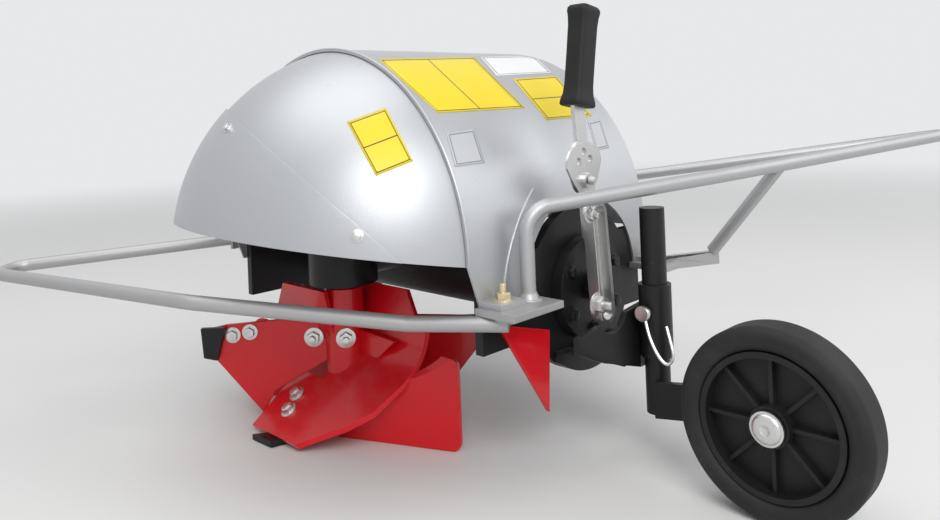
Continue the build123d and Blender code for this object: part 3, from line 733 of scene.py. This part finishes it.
# %% Moulded grip
GRIP_FOOT = Vector((0.585, -0.0394, 0.2213))
GRIP_LEAN = radians(-10.0)
GRIP_TURN = radians(50.0)
GRIP_HALF = (0.0128, 0.0152)
GRIP_CORNER, GRIP_CORNER_STEPS = 0.42, 5
GRIP_STEPS = [
    (-0.001, 1.16), (0.001, 1.24), (0.006, 1.20), (0.013, 1.06), (0.024, 1.00), (0.060, 1.00), (0.095, 1.02),
    (0.106, 1.08), (0.112, 1.16), (0.1155, 1.14), (0.1185, 1.00), (0.1200, 0.72), (0.1207, 0.36),
]


def grown(result, kind):
    """The new verts or faces of an extrusion."""
    return [item for item in result["geom"] if isinstance(item, kind)]


def move_ring(mesh_bm, ring, growth, rise):
    bmesh.ops.scale(mesh_bm, verts=ring, vec=(growth, growth, 1.0))
    bmesh.ops.translate(mesh_bm, verts=ring, vec=UP * rise)


grip = bmesh.new()
bmesh.ops.create_grid(grip, x_segments=1, y_segments=1, size=1.0)
soft_bevel(grip, grip.verts[:], GRIP_CORNER, GRIP_CORNER_STEPS, affect="VERTICES")
bmesh.ops.scale(grip, verts=grip.verts, vec=(*GRIP_HALF, 1.0))
level, flare = GRIP_STEPS[0]
move_ring(grip, grip.verts, flare, level)
foot = grip.faces[:]
tip = foot
for next_level, next_flare in GRIP_STEPS[1:]:
    step = bmesh.ops.extrude_face_region(grip, geom=tip)
    if tip is not foot:
        bmesh.ops.delete(grip, geom=tip, context="FACES_ONLY")
    move_ring(grip, grown(step, bmesh.types.BMVert), next_flare / flare, next_level - level)
    tip = grown(step, bmesh.types.BMFace)
    level, flare = next_level, next_flare
bmesh.ops.recalc_face_normals(grip, faces=grip.faces)
grip_place = Matrix.Translation(GRIP_FOOT) @ Matrix.Rotation(GRIP_LEAN, 4, "X")
bmesh.ops.transform(grip, matrix=grip_place, verts=grip.verts)
grip_piece = link_piece("lever_grip_moulded", grip, grip_rubber, body_of_node["lever_grip"],
                        sharp=GRIP_TURN)
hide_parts("lever_grip")
print("grip steps:", len(GRIP_STEPS))

# %% [markdown]
# ## Index plate
# The lever's lock plate is a flat sheet fan with three holes, so its outline and holes are filled as one
# face and extruded once.

# %% Index plate
LEVER_PLACE = Matrix.Translation((0.0, -0.022, 0.0)) @ Matrix.Rotation(radians(4.5), 4, "X")
FAN_FACE, FAN_SHEET = 0.5856, 0.0030
FAN_HALF = [
    (0.013, 0.1190), (0.024, 0.134), (0.0335, 0.153), (0.0325, 0.162), (0.026, 0.171), (0.014, 0.177),
]
FAN_TOP = (0.000, 0.179)
FAN_HOLES = [(-0.011, 0.158), (0.0, 0.168), (0.011, 0.158)]
FAN_HOLE_R, FAN_HOLE_SIDES = 0.0045, 20
fan_outline = FAN_HALF + [FAN_TOP] + [(-y, z) for y, z in reversed(FAN_HALF)]
fan = bmesh.new()
corners = [fan.verts.new((0, y, z)) for y, z in fan_outline]
for first, second in zip(corners, corners[1:] + corners[:1]):
    fan.edges.new((first, second))
for y, z in FAN_HOLES:
    bmesh.ops.create_circle(fan, cap_ends=False, radius=FAN_HOLE_R, segments=FAN_HOLE_SIDES,
                            matrix=Matrix.Translation((0, y, z)) @ Matrix.Rotation(pi / 2, 4, "Y"))
bmesh.ops.triangle_fill(fan, edges=fan.edges[:], use_beauty=True, use_dissolve=False, normal=REAR)
raised = bmesh.ops.extrude_face_region(fan, geom=fan.faces[:], use_keep_orig=True)
bmesh.ops.translate(fan, vec=REAR * FAN_SHEET, verts=grown(raised, bmesh.types.BMVert))
bmesh.ops.translate(fan, vec=REAR * FAN_FACE, verts=fan.verts)
bmesh.ops.recalc_face_normals(fan, faces=fan.faces)
bmesh.ops.transform(fan, matrix=LEVER_PLACE, verts=fan.verts)
link_piece("index_plate", fan, clear_zinc, "head")
print("index plate corners:", len(fan_outline))

# %% [markdown]
# ## Channel bolts
# Two bolts hold the lever's channel, a large one at the foot and a small one at the head. They stand along
# the drive line, whichever face of the channel the seat finder meets.

# %% Channel bolts
CHANNEL_SEATS = [((597, 304), 0.017, 0.010), ((589, 215), 0.012, 0.006)]
channel_bolts = bmesh.new()
for pixel, flats, stud in CHANNEL_SEATS:
    found = seat(pixel, "lever_channel")
    if found:
        add_bolt(channel_bolts, found[0], REAR, flats, stud)
link_hardware("channel_bolts", channel_bolts, clear_zinc, "head")
print("channel bolts:", len(CHANNEL_SEATS))

# %% [markdown]
# ## Hub cap
# The wheel's cap is a turned part with a low rim and a dimple, so half its outline is spun once round.

# %% Hub cap
HUB_TURN, HUB_STEPS = radians(38.0), 48
# Radius and depth along the outline, in shares of the solid cap's own.
HUB_OUTLINE = [
    (0.0, 0.80), (0.22, 0.82), (0.30, 1.0), (0.62, 0.96), (0.80, 0.74), (0.86, 0.45), (1.0, 0.38), (1.0, 0.0),
]
hub_low, hub_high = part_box("hub_cap")
hub_seat = Vector(((hub_low.x + hub_high.x) / 2, hub_high.y, (hub_low.z + hub_high.z) / 2))
hub_r = (hub_high.x - hub_low.x) / 2
hub_depth = hub_high.y - hub_low.y
hub = bmesh.new()
outline = [hub.verts.new((0, -depth * hub_depth, radius * hub_r)) for radius, depth in HUB_OUTLINE]
outline_edges = [hub.edges.new(pair) for pair in zip(outline, outline[1:])]
bmesh.ops.spin(hub, geom=outline + outline_edges, cent=(0, 0, 0), axis=(0, 1, 0), angle=2 * pi,
               steps=HUB_STEPS, use_merge=True, use_duplicate=False)
bmesh.ops.remove_doubles(hub, verts=hub.verts, dist=TOUCH)
close_holes(hub)
bmesh.ops.recalc_face_normals(hub, faces=hub.faces)
bmesh.ops.translate(hub, verts=hub.verts, vec=hub_seat)
hub_piece = link_piece("hub_cap_turned", hub, clear_zinc, body_of_node["hub_cap"],
                       sharp=HUB_TURN, even=True)
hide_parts("hub_cap")
print("hub cap radius:", round(hub_r, 4))

# %% [markdown]
# ## Weld bead, hem and arch bead
# The guard's riser is welded to its foot, and the hood's left end has a rolled hem over the dome. Both are a
# small round section spun round an axis; the weld's rings are then swollen in turn, which gives its ripples.
# The bead beside the rear arch follows the hood's round, so it is a bent wire through points on the hood.

# %% Weld bead, hem and arch bead
RING_SIDES = 10


def add_ring(mesh_bm, centre, axis, start, wire, angle, steps):
    """A round section at start, spun about axis through centre."""
    spoke = (start - centre).normalized()
    section_axes = Matrix((spoke, axis, axis.cross(spoke).normalized())).transposed().to_4x4()
    section = bmesh.ops.create_circle(mesh_bm, cap_ends=False, radius=wire, segments=RING_SIDES,
                                      matrix=Matrix.Translation(start) @ section_axes)
    edges = list({edge for vert in section["verts"] for edge in vert.link_edges})
    full = abs(angle - 2 * pi) < TOUCH
    bmesh.ops.spin(mesh_bm, geom=section["verts"] + edges, cent=centre, axis=axis, angle=angle, steps=steps,
                   use_merge=full, use_duplicate=False)


RISER = Vector((0.575, -0.128, 0.0115))
WELD_R, WELD_WIRE, WELD_STEPS = 0.0133, 0.0018, 44
WELD_RIPPLES, WELD_SWELL = 22, 0.004
weld = bmesh.new()
add_ring(weld, RISER, UP, RISER + REAR * WELD_R, WELD_WIRE, 2 * pi, WELD_STEPS)
for vert in weld.verts:
    ring = round((vert.co - RISER).angle(REAR, 0.0) * WELD_RIPPLES)
    swell = 1.0 + WELD_SWELL * (ring % 2)
    vert.co.x = RISER.x + (vert.co.x - RISER.x) * swell
    vert.co.y = RISER.y + (vert.co.y - RISER.y) * swell
bmesh.ops.recalc_face_normals(weld, faces=weld.faces)
link_piece("riser_weld", weld, tube_silver, "frame")

HOOD_R = 0.248
HOOD_AXIS = Vector((0.307, -0.200, 0.057))
HEM_SET, HEM_WIRE, HEM_STEPS = 0.0015, 0.0016, 90
hem = bmesh.new()
hem_start = HOOD_AXIS + Vector((HOOD_R, HEM_SET, 0.0))
add_ring(hem, HOOD_AXIS, Vector((0, 1, 0)), hem_start, HEM_WIRE, -pi, HEM_STEPS)
close_holes(hem)
bmesh.ops.recalc_face_normals(hem, faces=hem.faces)
link_piece("hood_hem", hem, hood_silver, "frame")

BEAD_R, BEAD_WIRE = 0.148, 0.0021
BEAD_ANGLES = [radians(degrees) for degrees in range(172, 117, -5)]
bead_route = []
for angle in BEAD_ANGLES:
    bead_y, bead_z = BEAD_R * cos(angle), BEAD_R * sin(angle)
    bead_x = HOOD_AXIS.x + (HOOD_R ** 2 - max(0.0, bead_z - HOOD_AXIS.z) ** 2) ** 0.5
    bead_route.append((bead_x, bead_y, bead_z))
bead = bent_wire("arch_bead_route", bead_route, BEAD_WIRE)
link_piece("arch_bead", bead, hood_silver, "frame")
print("weld, hem and arch bead made")

# %% [markdown]
# ## Light and floor
# The machine stands on a plain pale floor that fades into the backdrop. A large key lamp behind the camera's
# right shoulder makes the bright patch on the dome, a wide lamp overhead lights the hood's top, and one on
# the far side draws the guard's tubes. The room is dimmer as a light than it looks, so the shadows stay.

# %% Floor, lamps and room
FLOOR_REACH, FLOOR_SIDES = 9.0, 96
FLOOR_MIDDLE, FLOOR_DROP = 0.3, 0.0005
FLOOR_LIGHT, FLOOR_DARK = (0.72, 0.72, 0.71), (0.66, 0.66, 0.66)
FADE_START, FADE_RUN = 1.3, 3.2
BACKDROP = (0.80, 0.81, 0.82, 1.0)
floor_bm = bmesh.new()
bmesh.ops.create_circle(floor_bm, cap_ends=True, radius=FLOOR_REACH, segments=FLOOR_SIDES)
bmesh.ops.translate(floor_bm, verts=floor_bm.verts, vec=(FLOOR_MIDDLE, 0.0, FLOOR_Z - FLOOR_DROP))
floor_mesh = bpy.data.meshes.new("floor")
floor_bm.to_mesh(floor_mesh)
floor_bm.free()
floor = bpy.data.objects.new("floor", floor_mesh)
bpy.context.scene.collection.objects.link(floor)
floor_finish = Finish("pale_floor")
floor_tone = floor_finish.mix(floor_finish.noise(1.5, detail=3.0) * 0.3, FLOOR_LIGHT, FLOOR_DARK)
near_floor = floor_finish.node("ShaderNodeBsdfPrincipled", {"Base Color": floor_tone, "Roughness": 0.62})
far_floor = floor_finish.node("ShaderNodeEmission", {"Color": BACKDROP, "Strength": 1.0})
distance = floor_finish.node("ShaderNodeVectorMath", {0: floor_finish.place}, out="Value", operation="LENGTH")
faded = {0: distance.above(FADE_START, FADE_RUN), 1: near_floor, 2: far_floor}
floor_finish.end("ShaderNodeOutputMaterial", floor_finish.node("ShaderNodeMixShader", faded))
floor_mesh.materials.append(floor_finish.material)

# Each lamp's name, place, aim, size in metres and power in watts.
LAMPS = [
    ("key", (2.68, -1.45, 1.95), (0.25, -0.20, 0.05), 2.0, 62.0),
    ("top", (-0.2, -0.6, 3.2), (0.2, 0.0, 0.0), 3.2, 46.0),
    ("rear", (2.4, 1.8, 1.6), (0.4, 0.1, 0.0), 2.4, 22.0),
]
for name, spot, aim, size, watts in LAMPS:
    lamp = bpy.data.lights.new(name, "AREA")
    lamp.shape = "DISK"
    lamp.size = size
    lamp.energy = watts
    holder = bpy.data.objects.new(name, lamp)
    direction = Vector(aim) - Vector(spot)
    holder.matrix_world = Matrix.Translation(spot) @ direction.to_track_quat("-Z", "Y").to_matrix().to_4x4()
    bpy.context.scene.collection.objects.link(holder)

AMBIENT, SHOWN_LEVEL = 0.55, 1.0
world = bpy.data.worlds.new("room")
bpy.context.scene.world = world
room = Recipe(world)
shown = room.node("ShaderNodeLightPath", out="Is Camera Ray")
for ray in ("Is Glossy Ray", "Is Transmission Ray"):
    shown = shown.most(room.node("ShaderNodeLightPath", out=ray))
strength = AMBIENT + shown * (SHOWN_LEVEL - AMBIENT)
glow = room.node("ShaderNodeBackground", {"Color": BACKDROP, "Strength": strength})
room.end("ShaderNodeOutputWorld", glow)
print("lamps:", len(LAMPS))
